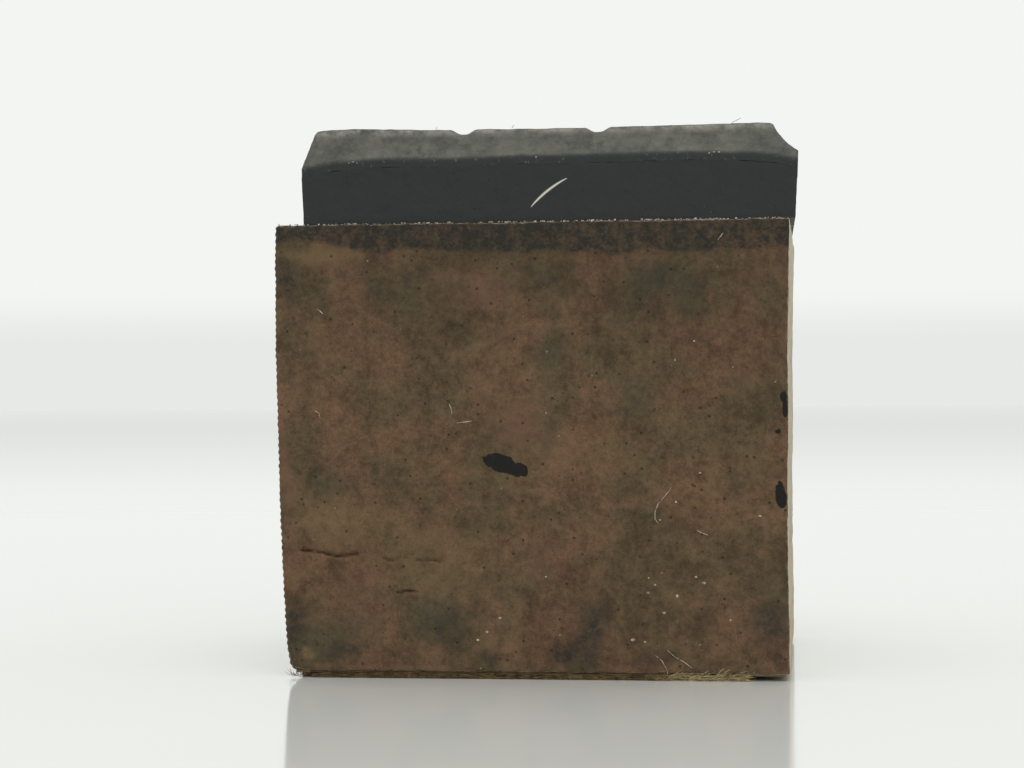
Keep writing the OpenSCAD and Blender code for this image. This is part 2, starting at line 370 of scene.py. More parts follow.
def make_scratch():
    """One scratch or thin line between two points, bowed a little and thinning to its ends."""
    n, given, out = new_effect("scratch", (("Place", "Vector", None), ("From", "Vector", (0, 0, 0)),
                                           ("To", "Vector", (1, 0, 0)), ("Bow", "Float", 0.0),
                                           ("Width", "Float", 0.05)), (("Mask", "Float"),))

    def vector(operation, a, b=None, out=0):
        inputs = {0: a} if b is None else {0: a, 1: b}
        return n.add("ShaderNodeVectorMath", {"operation": operation}, inputs, out)

    run = vector("SUBTRACT", given["To"], given["From"])
    off = vector("SUBTRACT", given["Place"], given["From"])
    span = vector("LENGTH", run, out="Value")
    unit = vector("NORMALIZE", run)
    along = n.maths("DIVIDE", vector("DOT_PRODUCT", off, unit, out="Value"), span)
    side = vector("CROSS_PRODUCT", unit, (0, 1, 0))
    across = vector("DOT_PRODUCT", off, side, out="Value")
    hump = n.times(n.times(along, n.maths("SUBTRACT", 1.0, along)), 4.0)
    away = n.maths("ABSOLUTE", n.maths("SUBTRACT", across, n.times(hump, given["Bow"])))
    width = n.times(given["Width"], n.maths("MAXIMUM", n.maths("SQRT", n.maths("MAXIMUM", hump, 0.0)), 0.02))
    line = n.spread(n.maths("DIVIDE", away, width), 1.0, 0.25)
    inside = n.maths("GREATER_THAN", hump, 0.0)
    n.tree.links.new(n.times(line, inside), out["Mask"])
    return n.tree


SPECKS, MOTTLE, SCRATCH = make_specks(), make_mottle(), make_scratch()


def front_scratch(n, where, start, end, width_px, bow_px=0.0, y=None):
    """A scratch on the front, between two pixels of the photograph."""
    y = FRONT_Y if y is None else y
    a, b = seen_at(*start, y), seen_at(*end, y)
    return n.effect(SCRATCH, {"Place": where, "From": (a[0], 0, a[2]), "To": (b[0], 0, b[2]),
                              "Width": width_px / FRONT_PX_PER_MM, "Bow": bow_px / FRONT_PX_PER_MM})


def without_depth(n, where):
    x, _, z = n.axes(where)
    return n.add("ShaderNodeCombineXYZ", {}, {0: x, 1: 0.0, 2: z})


# Wood
WOOD_CELLS = (120, 52, 236)
WOOD_EDGE_CELLS = (12, 8, 6)
WOOD_EDGE = (0.6, 0.4, 0.4)
# Left and right sides seen from the front: heights, then X
LEFT_SIDE = ((0.29, 0.73, 1.37, 2.64, 3.91, 5.18, 6.46, 7.73, 9.01, 10.92, 12.83, 14.75, 19.21),
             (-10.55, -10.58, -10.64, -10.71, -10.78, -10.85, -10.90, -10.94, -10.96, -11.01, -11.06,
              -11.09, -11.09))
RIGHT_SIDE = ((0.29, 2.56, 4.42, 8.14, 10.62, 13.72, 16.2, 17.44, 18.7, 19.21),
              (10.57, 10.57, 10.53, 10.53, 10.58, 10.56, 10.61, 10.64, 10.68, 10.68))
SAW_PITCH = 0.29
# Checks and chips in the front: photo pixels along the line, half width and depth in millimetres
CHECKS = (
    (((300, 550), (318, 552), (334, 556), (350, 555), (358, 553)), 0.07, 0.3),
    (((383, 558.5), (393, 560.5)), 0.06, 0.16),
    (((414, 561.5), (425, 559.5), (433, 560), (441, 561.5)), 0.06, 0.16),
    (((399, 592.5), (405, 590.5), (414, 591.5)), 0.08, 0.3),
)
# Marks on the front: kind, photo pixel, half width and half height in pixels, lean in degrees, strength
FRONT_MARKS = (
    ("ink", 285, 281, 13, 27, 0, 0.8), ("ink", 530, 274, 34, 18, 0, 0.5), ("ink", 650, 290, 62, 44, 0, 0.45),
    ("ink", 450, 305, 24, 50, 0, 0.35), ("ink", 288, 628, 14, 44, 4, 0.75), ("ink", 344, 654, 26, 13, 0, 0.7),
    ("ink", 452, 636, 20, 30, 0, 0.45), ("ink", 588, 640, 17, 38, 18, 0.8),
    ("ink", 565, 655, 16, 15, 0, 0.85),
    ("ink", 598, 655, 12, 18, 0, 0.6), ("ink", 766, 626, 20, 24, 0, 0.7), ("ink", 782, 650, 10, 14, 0, 0.6),
    ("ink", 645, 660, 30, 9, 0, 0.55), ("ink", 700, 622, 14, 12, 0, 0.5), ("ink", 490, 659, 16, 8, 0, 0.6),
    ("ink", 786, 575, 8, 30, 0, 0.5), ("ink", 760, 360, 30, 60, 0, 0.15),
    ("moss", 650, 276, 20, 16, 0, 0.8), ("moss", 690, 289, 14, 24, 0, 0.7),
    ("moss", 546, 356, 16, 18, 0, 0.7), ("moss", 335, 480, 26, 16, 0, 0.6),
    ("moss", 440, 620, 26, 24, 0, 0.7), ("moss", 320, 640, 34, 26, 0, 0.6),
    ("moss", 548, 440, 8, 22, 0, 0.6), ("moss", 360, 630, 24, 20, 0, 0.6),
    ("moss", 590, 622, 16, 24, 0, 0.7), ("moss", 625, 400, 22, 20, 0, 0.4),
    ("moss", 775, 600, 16, 40, 0, 0.6), ("moss", 400, 290, 40, 40, 0, 0.3),
    ("warm", 486, 290, 22, 18, 0, 0.7), ("warm", 522, 424, 26, 30, 0, 0.8),
    ("warm", 528, 405, 16, 12, 0, 0.6), ("warm", 545, 560, 26, 26, 0, 0.5),
    ("warm", 283, 480, 9, 70, 0, 0.7), ("warm", 360, 585, 30, 30, 0, 0.35),
    ("tan", 322, 253, 42, 11, 0, 0.9), ("tan", 415, 590, 12, 6, 0, 0.5), ("tan", 304, 651, 8, 5, -10, 1.0),
    ("tan", 340, 520, 40, 30, 0, 0.5), ("tan", 590, 460, 60, 30, 0, 0.2), ("tan", 440, 560, 60, 40, 0, 0.3),
    ("blot", 785, 396, 4, 5, 0, 1.0), ("blot", 787, 409, 3.5, 9, 0, 1.0), ("blot", 781, 431, 3.5, 3, 0, 1.0),
    ("blot", 783, 495, 6, 13, -8, 1.0), ("blot", 500, 463, 17, 9, 15, 1.0), ("blot", 518, 470, 10, 8, 0, 0.9),
)
MARK_KINDS = ("ink", "moss", "warm", "tan", "blot")
# Lower edge of the ink band under the plate, in photo pixels
INK_EDGE = ((270, 243), (300, 241), (330, 243), (352, 251), (385, 252), (402, 246), (450, 249), (500, 252),
            (545, 250), (600, 253), (650, 249), (700, 252), (740, 248), (795, 247))


def shape_wood(mesh):
    """Wood as sawn, nailed and knocked about: round arrises, uneven sides, checks in the front."""
    share = points_of(mesh)
    p = np.stack([crowd(share[:, i], WOOD_CELLS[i], WOOD_EDGE_CELLS[i], WOOD_EDGE[i], WOOD_LO[i], WOOD_HI[i])
                  for i in range(3)], axis=1)
    x, y, z = p.T

    def close_to(cx, cz, reach):
        return np.exp(-((x - cx) ** 2 + (z - cz) ** 2) / reach ** 2)

    r = 0.085 + 0.04 * rough(p, 0.9, 5) + 0.3 * close_to(WOOD_LO[0], WOOD_LO[2], 0.8)
    r += 0.1 * close_to(WOOD_LO[0], WOOD_HI[2], 1.0)
    r = np.clip(r, 0.04, 0.6)[:, None]
    core = np.clip(p, WOOD_LO + r, WOOD_HI - r)
    out = p - core
    length = np.maximum(np.linalg.norm(out, axis=1, keepdims=True), 1e-9)
    arris = (1 - np.abs(out).max(1) / length[:, 0]) / 0.29
    q = core + out / length * np.minimum(length, r)

    left, right = 1 - ease(0, 3.5, x - WOOD_LO[0]), 1 - ease(0, 3.5, WOOD_HI[0] - x)
    q[:, 0] += left * (np.interp(z, *LEFT_SIDE) - WOOD_LO[0])
    q[:, 0] += right * (np.interp(z, *RIGHT_SIDE) - WOOD_HI[0])
    skin_l, skin_r = 1 - ease(0, 0.3, x - WOOD_LO[0]), 1 - ease(0, 0.3, WOOD_HI[0] - x)
    saw = np.sin(2 * math.pi * z / SAW_PITCH + 1.3 * lumps(p, 1.7, 3) + 0.12 * y)
    q[:, 0] += skin_l * (0.02 * saw * (1 + 0.6 * lumps(p, 1.1, 8)) + 0.014 * rough(p, 0.35, 9))
    q[:, 0] += skin_r * 0.018 * rough(p * (1, 0.2, 1), 0.5, 12)
    front, back = 1 - ease(0, 0.3, y - WOOD_LO[1]), 1 - ease(0, 0.3, WOOD_HI[1] - y)
    q[:, 1] += front * (0.025 * rough(p, 2.6, 14) + 0.008 * rough(p, 0.4, 15))
    q[:, 1] += back * (0.03 * rough(p, 2.2, 17) + 0.01 * rough(p, 0.4, 18))
    top, foot = 1 - ease(0, 0.3, WOOD_HI[2] - z), 1 - ease(0, 0.2, z - WOOD_LO[2])
    q[:, 2] += top * (0.02 * rough(p, 0.7, 21) - 0.012) + foot * 0.012 * rough(p, 0.5, 23)
    for line, wide, deep in CHECKS:
        line = [(seen[0], seen[2]) for seen in (seen_at(*pixel, FRONT_Y) for pixel in line)]
        away = near_line(x, z, line) + 0.02 * lumps(p, 0.12, 31)
        q[:, 1] += front * deep * (1 - ease(0, wide, away))
    place_points(mesh, q)
    set_mask(mesh, "arris", arris)
    return p


def mark_wood(mesh, p):
    """Masks of the marks on the front, read by the end-grain finish."""
    x, y, z = p.T
    front = 1 - ease(0.05, 0.6, y - FRONT_Y)
    wobble_x, wobble_z = 0.35 * rough(p, 0.9, 41), 0.35 * rough(p, 0.9, 47)
    for kind in MARK_KINDS:
        total = np.zeros(len(p))
        for _, px, py, wide, high, lean, strength in (m for m in FRONT_MARKS if m[0] == kind):
            c = seen_at(px, py, FRONT_Y)
            s, k = math.sin(math.radians(lean)), math.cos(math.radians(lean))
            loose = 0.2 if kind == "blot" else 1.0
            dx, dz = x - c[0] + loose * wobble_x, z - c[2] + loose * wobble_z
            u = (dx * k - dz * s) * FRONT_PX_PER_MM / wide
            v = (dx * s + dz * k) * FRONT_PX_PER_MM / high
            soft = ease(1.25, 0.8, np.hypot(u, v)) if kind == "blot" else ease(1.5, 0.2, np.hypot(u, v))
            total = np.maximum(total, strength * soft)
        if kind == "ink":
            edge = [seen_at(*pixel, FRONT_Y) for pixel in INK_EDGE]
            rim = np.interp(x, [e[0] for e in edge], [e[2] for e in edge]) + 0.12 * rough(p, 0.5, 51)
            total = np.maximum(total, 0.95 * ease(-0.22, 0.12, z - rim))
            total = np.maximum(total, 0.3 * ease(12.5, 18.5, z))
        set_mask(mesh, kind, total * front)


def end_grain(n):
    """Brown end grain: pores, uneven tone, grime, ink, and arrises painted pale, partly as wear and partly as
    a painted highlight.
    """
    where = n.place()
    flat = without_depth(n, where)
    tone = n.effect(MOTTLE, {"Place": where, "Scale": 0.9, "Detail": 6.0, "Grain": 0.95, "Contrast": 2.6})
    hue = n.noise(where, 0.32, 3, 0.6)
    colour = n.mix(n.spread(hue, 0.4, 0.62), paint(84, 71, 51), paint(98, 75, 56))
    shade = n.spread(tone, 0, 1, 0.55, 1.5)
    grey = n.add("ShaderNodeCombineColor", {}, {0: shade, 1: shade, 2: shade})
    colour = n.mix(1.0, colour, grey, "MULTIPLY")
    ragged = n.spread(n.noise(where, 3.0, 4, 0.75), 0.3, 0.7, 0.55, 1.45)
    for kind, tint, share in (("moss", paint(66, 66, 52), 0.75), ("warm", paint(112, 82, 66), 0.7),
                              ("tan", paint(124, 102, 72), 0.8)):
        colour = n.mix(n.times(n.times(n.mask(kind), ragged), share), colour, tint)
    ink = n.times(n.mask("ink"), ragged)
    colour = n.mix(n.times(ink, 0.85), colour, paint(38, 36, 30))
    blot = n.spread(n.times(n.mask("blot"), ragged), 0.4, 0.65)
    colour = n.mix(blot, colour, paint(30, 29, 27))
    pores = n.effect(SPECKS, {"Place": flat, "Scale": 3.2, "Share": 0.42, "Size": 0.2})
    fine = n.effect(SPECKS, {"Place": flat, "Scale": 7.5, "Share": 0.4, "Size": 0.3})
    colour = n.mix(n.times(pores, 0.75), colour, paint(40, 30, 21))
    colour = n.mix(n.times(fine, 0.35), colour, paint(48, 37, 26))
    flecks = n.effect(SPECKS, {"Place": flat, "Scale": 2.1, "Share": 0.16, "Size": 0.09})
    colour = n.mix(n.times(flecks, 0.5), colour, paint(170, 155, 130))
    # Arrises painted pale: partly wear, partly a painted highlight where the rounded edges catch the light
    # from above.
    arris_wear_and_highlight = n.times(n.spread(n.mask("arris"), 0.25, 0.8), n.spread(n.noise(where, 4.5, 3, 0.7), 0.42, 0.62))
    colour = n.mix(n.times(arris_wear_and_highlight, 0.6), colour, paint(150, 140, 122))
    height = n.plus(n.times(tone, 0.6), n.times(n.plus(pores, n.times(fine, 0.4)), -1.0))
    normal = n.bump(height, 0.6, 0.04)
    return {"Base Color": colour, "Roughness": n.spread(ink, 0.2, 0.9, 0.85, 0.6), "Normal": normal}


def long_grain(n):
    """Sawn sides of the wood: streaks along the grain from front to back, darker towards the left, with a
    painted reflection on the right side.
    """
    where = n.place(stretch=(1, 0.06, 1))
    still = n.place()
    streak = n.effect(MOTTLE, {"Place": where, "Scale": 2.2, "Detail": 5.0, "Grain": 0.75, "Contrast": 2.6})
    tone = n.effect(MOTTLE, {"Place": still, "Scale": 0.5, "Detail": 5.0, "Grain": 0.7, "Contrast": 2.4})
    colour = n.mix(streak, paint(118, 96, 68), paint(176, 156, 124))
    colour = n.mix(n.times(tone, 0.6), colour, paint(104, 84, 60))
    # Darker towards the left; the right side is painted pale cream as a painted reflection of the bright
    # surroundings seen at a grazing angle.
    side = n.spread(n.axes(still)[0], -9.0, 9.0)
    colour = n.mix(n.times(n.maths("SUBTRACT", 1.0, side), 0.65), colour, paint(88, 66, 47))
    pale = n.times(n.spread(side, 0.9, 1.0), 0.75)
    colour = n.mix(pale, colour, paint(206, 198, 176))
    drawn = n.place(stretch=(1, 0.12, 1))
    pores = n.effect(SPECKS, {"Place": drawn, "Scale": 3.0, "Share": 0.4, "Size": 0.16})
    colour = n.mix(n.times(pores, 0.5), colour, paint(52, 39, 27))
    grime = n.spread(n.noise(still, 0.8, 4, 0.7), 0.5, 0.72)
    colour = n.mix(n.times(grime, 0.45), colour, paint(58, 52, 42))
    height = n.plus(n.times(streak, 0.7), n.times(pores, -0.8))
    return {"Base Color": colour, "Roughness": 0.82, "Normal": n.bump(height, 0.5, 0.05)}


def make_wood():
    mesh = cut_block("wood_block", WOOD_CELLS)
    share = points_of(mesh)
    p = shape_wood(mesh)
    mark_wood(mesh, p)
    ends = np.array([abs(poly.normal.y) > 0.5 for poly in mesh.polygons])
    corners = np.array([share[list(poly.vertices), 1].mean() for poly in mesh.polygons])
    on_end = (corners < 1e-4) | (corners > 1 - 1e-4) | ends
    mesh.polygons.foreach_set("material_index", np.where(on_end, 0, 1).astype(np.int32))
    finishes = [finish_with("end_grain", end_grain, 0.2), finish_with("long_grain", long_grain, 0.2)]
    add_piece("wood_block", mesh, finishes, "wood", "wood_base")


# Plate
def bend(a, b, c, n):
    """Points of a curve from a to c that leaves a and reaches c along the lines through b."""
    t = np.linspace(0, 1, n + 1)[:, None]
    a, b, c = (np.array(v, float) for v in (a, b, c))
    return a * (1 - t) ** 2 + b * 2 * t * (1 - t) + c * t ** 2


LEFT_BEVEL = np.vstack([[(SH_L, Z_FACE - DROP_L)],
                        bend((SH_L + RUN_L, Z_FACE - ROUND_DROP), (SH_L + RUN_L + ROUND_RUN * 0.2, Z_FACE),
                             (FACE_L, Z_FACE), 8)])
RIGHT_BEVEL = np.vstack([bend((FACE_R, Z_FACE), (SH_R - RUN_R - ROUND_RUN * 0.1, Z_FACE),
                              (SH_R - RUN_R, Z_FACE - ROUND_DROP), 8),
                         bend((SH_R - RUN_R, Z_FACE - ROUND_DROP),
                              (SH_R - RUN_R * 0.61, Z_FACE - DROP_R + DROP_R * 0.3),
                              (SH_R, Z_FACE - DROP_R), 10)])
# Front shoulder seen from the front: X, then how far it hangs below the source's straight shoulder
SHOULDER_SAG = ((-9.94, -9.55, -8.5, -8.0, -7.0, -4.0, -0.8, 3.7, 5.7, 7.7, 9.2, 10.2, 10.7, 11.05),
                (0.33, 0.29, 0.18, 0.11, 0.04, 0.05, -0.01, -0.01, -0.06, -0.02, 0.05, 0.15, 0.28, 0.36))
# Front edge of the face seen from the front: X, then how far it stands above the source's level face
FACE_SWELL = ((-9.4, -8.7, -7.8, -5.9, -3.9, 0.2, 3.6, 6.5, 9.4, 10.1), (0.02, 0.07, 0.09, 0.03, -0.02, -0.04,
                                                                       -0.03, 0.0, 0.03, 0.0))


def blend_low(a, b, soft):
    """The lower of two heights, with the crease between them rounded."""
    h = np.clip(0.5 + 0.5 * (b - a) / soft, 0, 1)
    return b + (a - b) * h - soft * h * (1 - h)


def right_edge(y):
    """The plate's right side at the shoulder, which runs in a little towards the back."""
    return SH_R - PLATE_SKEW * (y + SH_Y) / (2 * SH_Y)


def plate_height(x, y):
    """The plate's top without its relief: bevels, rounded corners and the dips between panels."""
    near_front = 1 - ease(-8.5, -2.0, y)
    near_side = 1 - ease(-SH_Y, -4.0, y)
    level = Z_FACE + near_front * np.interp(x, *FACE_SWELL)
    shoulder = Z_FACE - DROP_Y - near_side * np.interp(x, *SHOULDER_SAG)
    inside = SH_Y - np.abs(y)
    fall = level - shoulder
    slope = shoulder + fall * inside / RUN_Y
    top = blend_low(slope, level, 0.22)
    left = np.interp(x, LEFT_BEVEL[:, 0], LEFT_BEVEL[:, 1]) + (level - Z_FACE)
    right = np.interp(x, RIGHT_BEVEL[:, 0], RIGHT_BEVEL[:, 1]) + (level - Z_FACE)
    top = blend_low(blend_low(top, left, 0.12), right, 0.12)
    for groove in GROOVES:
        away = np.abs(x - groove) / (GROOVE_W / 2)
        top = top - GROOVE_DROP * (1 - ease(0.15, 1.0, away)) * ease(0.2, RUN_Y, inside)
    return top


def ring_gap(x, y, cx, cy, r):
    return np.hypot(x - cx, y - cy) - r


def panel_gap(x, y, wide, high, r):
    """Distance from a rectangle with round corners about the middle, below zero inside."""
    qx, qy = np.abs(x) - wide / 2 + r, np.abs(y) - high / 2 + r
    return np.hypot(np.maximum(qx, 0), np.maximum(qy, 0)) + np.minimum(np.maximum(qx, qy), 0) - r


def leaf_gap(x, y, long, wide):
    r = (long * long + wide * wide) / (4 * wide)
    return np.maximum(ring_gap(x, y, r - wide / 2, 0, r), ring_gap(x, y, wide / 2 - r, 0, r))


def spray_gap(x, y, w, brad_y):
    """An upright spray of leaves."""
    half = brad_y - BRAD_HEAD_D / 2 - BRAD_END_GAP
    leaf_long = w * 0.46
    pitch = (2 * half - BUD - STEM_W) / LEAF_PAIRS
    best = panel_gap(x, y + BUD / 4, STEM_W, 2 * half - BUD / 2, 0.02)
    best = np.minimum(best, leaf_gap(x, y - half + BUD / 2, BUD, BUD / 2))
    for i in range(LEAF_PAIRS):
        for side in (-1, 1):
            turn = side * LEAF_LEAN
            down = y + half - STEM_W - i * pitch
            lx, ly = x * math.cos(turn) + down * math.sin(turn), down * math.cos(turn) - x * math.sin(turn)
            best = np.minimum(best, leaf_gap(lx, ly - leaf_long / 2, leaf_long, leaf_long * 0.42))
    return best


def chain_gap(x, y, w):
    """A chain of quatrefoils with lozenges and dots between them."""
    reach = w * 0.4
    petal = reach * 0.36
    gap = (2 * POCKET_Y - 2 * reach - 2 * FRAME_LINE) / 4
    best = np.full(len(x), 1e9)
    for i in (-1, 0, 1):
        cy = 2 * i * gap
        for turn in range(4):
            angle = math.radians(45 + 90 * turn)
            best = np.minimum(best, ring_gap(x, y, (reach - petal) * math.cos(angle),
                                             cy + (reach - petal) * math.sin(angle), petal))
        heart = np.maximum(ring_gap(x, y, 0, cy, reach * 0.58), -ring_gap(x, y, 0, cy, reach * 0.22))
        best = np.maximum(np.minimum(best, heart), -ring_gap(x, y, 0, cy, reach * 0.22))
    for s in (-1, 1):
        best = np.minimum(best, (np.abs(x) + np.abs(y - s * gap)) / math.sqrt(2) - reach * 0.31)
        for side in (-1, 1):
            best = np.minimum(best, ring_gap(x, y, side * reach * 0.84, s * gap, reach * 0.17))
    return best


def low_ground(x, y):
    """How far a point is inside the low ground of a panel; below zero on what prints."""
    brad_y = POCKET_Y - BRAD_END_GAP - BRAD_HEAD_D / 2
    best = np.full(len(x), -1e9)
    for i, (a, b) in enumerate(PANELS):
        w, mx = b - a - 2 * FRAME_LINE, x - (a + b) / 2
        design = chain_gap(mx, y, w) if i == 1 else spray_gap(mx, y, w, brad_y)
        best = np.maximum(best, np.minimum(-panel_gap(mx, y, w, 2 * POCKET_Y, PANEL_R), design))
    return best


RELIEF_WALL = 0.13
SHELL_CELLS = (206, 186, 3)


def snap_to_outline(x, y, cell):
    """Draws grid points near the relief's outlines onto them, so that curves come out clean."""
    for level in (0.0, RELIEF_WALL):
        gap = low_ground(x, y) - level
        step = 0.01
        gx = (low_ground(x + step, y) - low_ground(x - step, y)) / (2 * step)
        gy = (low_ground(x, y + step) - low_ground(x, y - step)) / (2 * step)
        size = np.maximum(gx * gx + gy * gy, 0.2)
        pull = np.where(np.abs(gap) < cell * 0.5, 1.0, 0.0)
        x, y = x - pull * gap * gx / size, y - pull * gap * gy / size
    return x, y


def under_shell(x, y):
    """The shell's underside: a rim at the shoulder, then up to a flat under the low ground."""
    rim = rim_height(x, y)
    inside = np.minimum.reduce([SH_Y - np.abs(y), (x - SH_L) * 1.6, right_edge(y) - x])
    return rim + (Z_GROUND - SHELL_T - rim) * ease(0.2, 0.75, inside)


def rim_height(x, y):
    """The shell's lower edge below the nearest point of the shoulder."""
    to_left, to_right, to_y = x - SH_L, right_edge(y) - x, SH_Y - np.abs(y)
    on_x = np.where(to_left < to_right, SH_L, right_edge(y))
    sideways = np.minimum(to_left, to_right) < to_y
    return plate_height(np.where(sideways, on_x, x), np.where(sideways, y, np.sign(y) * SH_Y)) - SHELL_T


def lean_out(x, y, z):
    """Moves points of the plate's sides in towards its foot."""
    down = np.clip((Z_FACE - DROP_Y - z) / (Z_FACE - DROP_Y - Z_SEAT), 0, 1)
    to_left, to_right = 1 - ease(0, 2, x - SH_L), 1 - ease(0, 2, right_edge(y) - x)
    x = x + down * (LEAN_L * to_left - LEAN_R * to_right)
    return x, y * (1 - down * LEAN_Y / SH_Y * ease(SH_Y - 2, SH_Y, np.abs(y)))


def shape_shell(mesh):
    """The shell with its relief: low ground between the printing lines, soft arrises, small dents."""
    share = points_of(mesh)
    u, w, v = share.T
    y = -SH_Y + 2 * SH_Y * w
    x = SH_L + u * (right_edge(y) - SH_L)
    inner = (u > 1e-4) & (u < 1 - 1e-4) & (w > 1e-4) & (w < 1 - 1e-4)
    sx, sy = snap_to_outline(x, y, 2 * SH_Y / SHELL_CELLS[1])
    x, y = np.where(inner, sx, x), np.where(inner, sy, y)
    p = flat_points(x, y)
    top = plate_height(x, y)
    low = ease(0, RELIEF_WALL, low_ground(x, y))
    top = top - low * GROUND_DROP + low * 0.02 * rough(p, 1.4, 61)
    top += 0.012 * rough(p, 0.6, 63) + (1 - low) * 0.006 * rough(p, 0.25, 66)
    bevel = ease(Z_FACE - 0.15, Z_FACE - 0.5, plate_height(x, y))
    top += bevel * (0.03 * rough(p, 0.8, 71) + 0.012 * rough(p, 0.22, 73))
    under = under_shell(x, y)
    rim = ~inner
    under = np.where(rim, top - SHELL_T, np.minimum(under, top - 0.06))
    z = under + (top - under) * v
    x, y = np.where(rim, lean_out(x, y, z)[0], x), np.where(rim, lean_out(x, y, z)[1], y)
    q = np.stack([x, y, z], axis=1)
    q[:, 1] += np.where(rim & (w < 0.5), 0.012 * rough(q, 0.5, 77), 0)
    place_points(mesh, q)
    set_mask(mesh, "ground", low * (v > 0.99))
    set_mask(mesh, "skirt", np.where(rim, 1.0, 0.0))
    set_mask(mesh, "crest", (1 - low) * ease(Z_FACE - 0.5, Z_FACE - 0.1, top) * (v > 0.99))


BACK_CELLS = (150, 130, 28)


def shape_backing(mesh):
    """The cast backing: sawn sides that lean in to the foot, a raised top inside the shell."""
    share = points_of(mesh)
    u, w, v = share.T
    y = -SH_Y + 2 * SH_Y * w
    x = SH_L + u * (right_edge(y) - SH_L)
    rim = (u < 1e-4) | (u > 1 - 1e-4) | (w < 1e-4) | (w > 1 - 1e-4)
    top = np.where(rim, rim_height(x, y), under_shell(x, y) - 0.004)
    z = Z_SEAT + (top - Z_SEAT) * v
    x, y = lean_out(x, y, z)
    q = np.stack([x, y, z], axis=1)
    skin = rim & (v > 0) & (v < 1)
    push = 0.016 * rough(q, 0.9, 81) + 0.008 * rough(q, 0.22, 84)
    q[:, 1] += np.where(skin & ((w < 1e-4) | (w > 1 - 1e-4)), push, 0)
    q[:, 0] += np.where(skin & ((u < 1e-4) | (u > 1 - 1e-4)), push, 0)
    place_points(mesh, q)


def inked_metal(n):
    """Blue-black ink dried on the sawn sides of the backing."""
    where = n.place()
    tone = n.effect(MOTTLE, {"Place": where, "Scale": 1.2, "Detail": 6.0, "Grain": 0.9, "Contrast": 2.2})
    colour = n.mix(tone, paint(24, 26, 27), paint(46, 48, 48))
    specks = n.effect(SPECKS, {"Place": where, "Scale": 3.4, "Share": 0.3, "Size": 0.1})
    near_foot = n.spread(n.axes(where)[2], Z_SEAT + 1.1, Z_SEAT, 0.35, 1.0)
    colour = n.mix(n.times(n.times(specks, near_foot), 0.6), colour, paint(150, 148, 138))
    pits = n.effect(SPECKS, {"Place": where, "Scale": 2.6, "Share": 0.5, "Size": 0.16})
    colour = n.mix(n.times(pits, 0.5), colour, paint(16, 17, 17))
    scratch = front_scratch(n, without_depth(n, where), (530.5, 207), (567, 178), 1.7, 2.4, PLATE_Y)
    front = n.maths("LESS_THAN", n.axes(where)[1], 0.0)
    scratch = n.times(scratch, front)
    colour = n.mix(scratch, colour, paint(205, 200, 186))
    height = n.plus(n.plus(tone, n.times(pits, -0.5)), n.times(scratch, -0.5))
    return {"Base Color": colour, "Roughness": n.spread(tone, 0.2, 0.8, 0.42, 0.7), "Metallic": 0.0,
            "Normal": n.bump(height, 0.5, 0.03)}


def worn_shell(n):
    """The grown shell: grey metal dulled by ink, dark in the low ground, rubbed bright on the relief."""
    where = n.place()
    z = n.axes(where)[2]
    tone = n.effect(MOTTLE, {"Place": where, "Scale": 0.8, "Detail": 6.0, "Grain": 0.8, "Contrast": 2.6})
    colour = n.mix(tone, paint(52, 53, 47), paint(98, 98, 88))
    patches = n.spread(n.noise(where, 1.1, 5, 0.75), 0.5, 0.66)
    colour = n.mix(n.times(patches, 0.55), colour, paint(38, 38, 34))
    near_top = n.spread(z, Z_FACE - 0.28, Z_FACE - 0.02)
    streaks = n.spread(n.noise(n.place(stretch=(1, 1, 0.4)), 1.6, 4, 0.7), 0.42, 0.6)
    colour = n.mix(n.times(near_top, n.plus(0.45, n.times(streaks, 0.4))), colour, paint(26, 26, 24))
    ground, crest = n.mask("ground"), n.mask("crest")
    colour = n.mix(n.times(ground, n.spread(n.noise(where, 1.4, 5, 0.7), 0.3, 0.6, 0.55, 0.95)), colour,
                   paint(30, 30, 31))
    rub = n.times(crest, n.spread(n.noise(where, 0.9, 5, 0.75), 0.36, 0.6, 0.15, 1.0))
    colour = n.mix(n.times(rub, 0.75), colour, paint(134, 132, 124))
    skirt = n.times(n.mask("skirt"), n.spread(n.noise(where, 6.0, 3, 0.6), 0.25, 0.4))
    colour = n.mix(skirt, colour, paint(36, 38, 38))
    height = n.plus(tone, n.times(patches, 0.3))
    metal = n.times(rub, 0.7)
    return {"Base Color": colour, "Roughness": n.spread(rub, 0, 1, 0.58, 0.4), "Metallic": metal,
            "Normal": n.bump(height, 0.5, 0.04)}


def make_plate():
    shell = cut_block("grown_shell", SHELL_CELLS)
    shape_shell(shell)
    backing = cut_block("cast_backing", BACK_CELLS)
    shape_backing(backing)
    add_piece("grown_shell", shell, [finish_with("worn_shell", worn_shell, 0.35)], "shell", "printing_shell",
              sharp=60)
    add_piece("cast_backing", backing, [finish_with("inked_metal", inked_metal, 0.3)], "backing",
              "backing_metal", sharp=50)


# Brads
def old_iron(n):
    """Dark iron of a brad, mottled, with patches of rust."""
    where = n.place()
    tone = n.effect(MOTTLE, {"Place": where, "Scale": 2.5, "Detail": 5.0, "Grain": 0.7, "Contrast": 2.6})
    colour = n.mix(tone, paint(48, 46, 44), paint(120, 116, 108))
    rust = n.spread(n.noise(where, 3.0, 4, 0.7), 0.56, 0.72)
    colour = n.mix(n.times(rust, 0.6), colour, paint(92, 62, 42))
    return {"Base Color": colour, "Roughness": n.spread(tone, 0, 1, 0.6, 0.38), "Metallic": 0.55,
            "Normal": n.bump(tone, 0.5, 0.05)}


